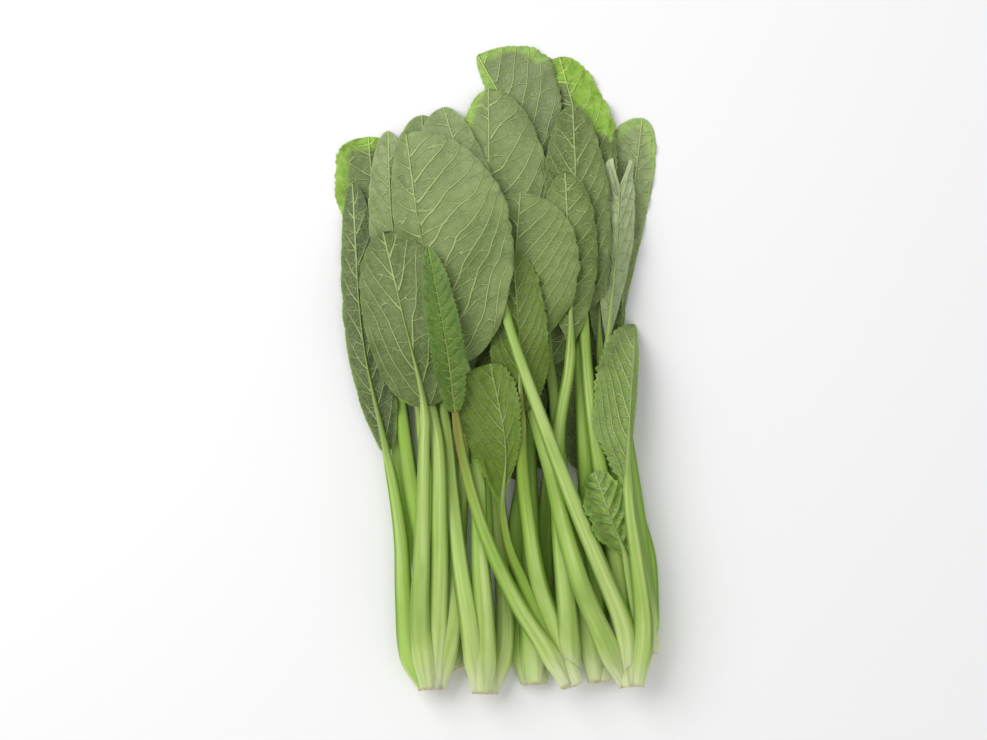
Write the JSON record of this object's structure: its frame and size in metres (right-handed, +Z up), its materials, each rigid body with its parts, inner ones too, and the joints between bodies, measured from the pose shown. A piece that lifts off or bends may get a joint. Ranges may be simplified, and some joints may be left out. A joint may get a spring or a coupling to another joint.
{
  "type": "choy sum bunch",
  "caption": "Bunch of young choy sum plants laid flat, with pale green stalks joined at cut bases and broad veined leaves.",
  "frame": {"origin": "centre of the bounding box, on the surface that the bunch lies on", "axes": "+Y from the cut bases to the leaf tips, +Z up, +X to the right seen from above"},
  "size_m": [0.166, 0.3272, 0.0405],
  "materials": {
    "stalk_green": "smooth, slightly waxy and translucent, paler towards the cut base",
    "leaf_green": "matt sage green underside with raised pale veins, darker satin upper side"
  },
  "bodies": {
    "root": {"plant_a_stalks": "stalk_green", "plant_a_leaf_1": "leaf_green", "plant_a_leaf_4": "leaf_green", "plant_a_leaf_3": "leaf_green", "plant_a_leaf_2": "leaf_green", "plant_b_stalks": "stalk_green", "plant_b_leaf_3": "leaf_green", "plant_b_leaf_1": "leaf_green", "plant_b_leaf_2": "leaf_green", "plant_c_stalks": "stalk_green", "plant_c_leaf_1": "leaf_green", "plant_c_leaf_4": "leaf_green", "plant_c_leaf_2": "leaf_green", "plant_c_leaf_3": "leaf_green", "plant_d_stalks": "stalk_green", "plant_d_leaf_4": "leaf_green", "plant_d_leaf_3": "leaf_green", "plant_d_leaf_2": "leaf_green", "plant_d_leaf_1": "leaf_green", "plant_e_stalks": "stalk_green", "plant_e_leaf_2": "leaf_green", "plant_e_leaf_4": "leaf_green", "plant_e_leaf_1": "leaf_green", "plant_e_leaf_3": "leaf_green", "plant_f_stalks": "stalk_green", "plant_f_leaf_5": "leaf_green", "plant_f_leaf_2": "leaf_green", "plant_f_leaf_1": "leaf_green", "plant_f_leaf_4": "leaf_green", "plant_f_leaf_3": "leaf_green", "plant_g_stalks": "stalk_green", "plant_g_leaf_4": "leaf_green", "plant_g_leaf_1": "leaf_green", "plant_g_leaf_3": "leaf_green", "plant_g_leaf_2": "leaf_green", "plant_h_stalks": "stalk_green", "plant_h_leaf_1": "leaf_green", "plant_h_leaf_3": "leaf_green", "plant_h_leaf_4": "leaf_green", "plant_h_leaf_2": "leaf_green"}
  },
  "joints": []
}
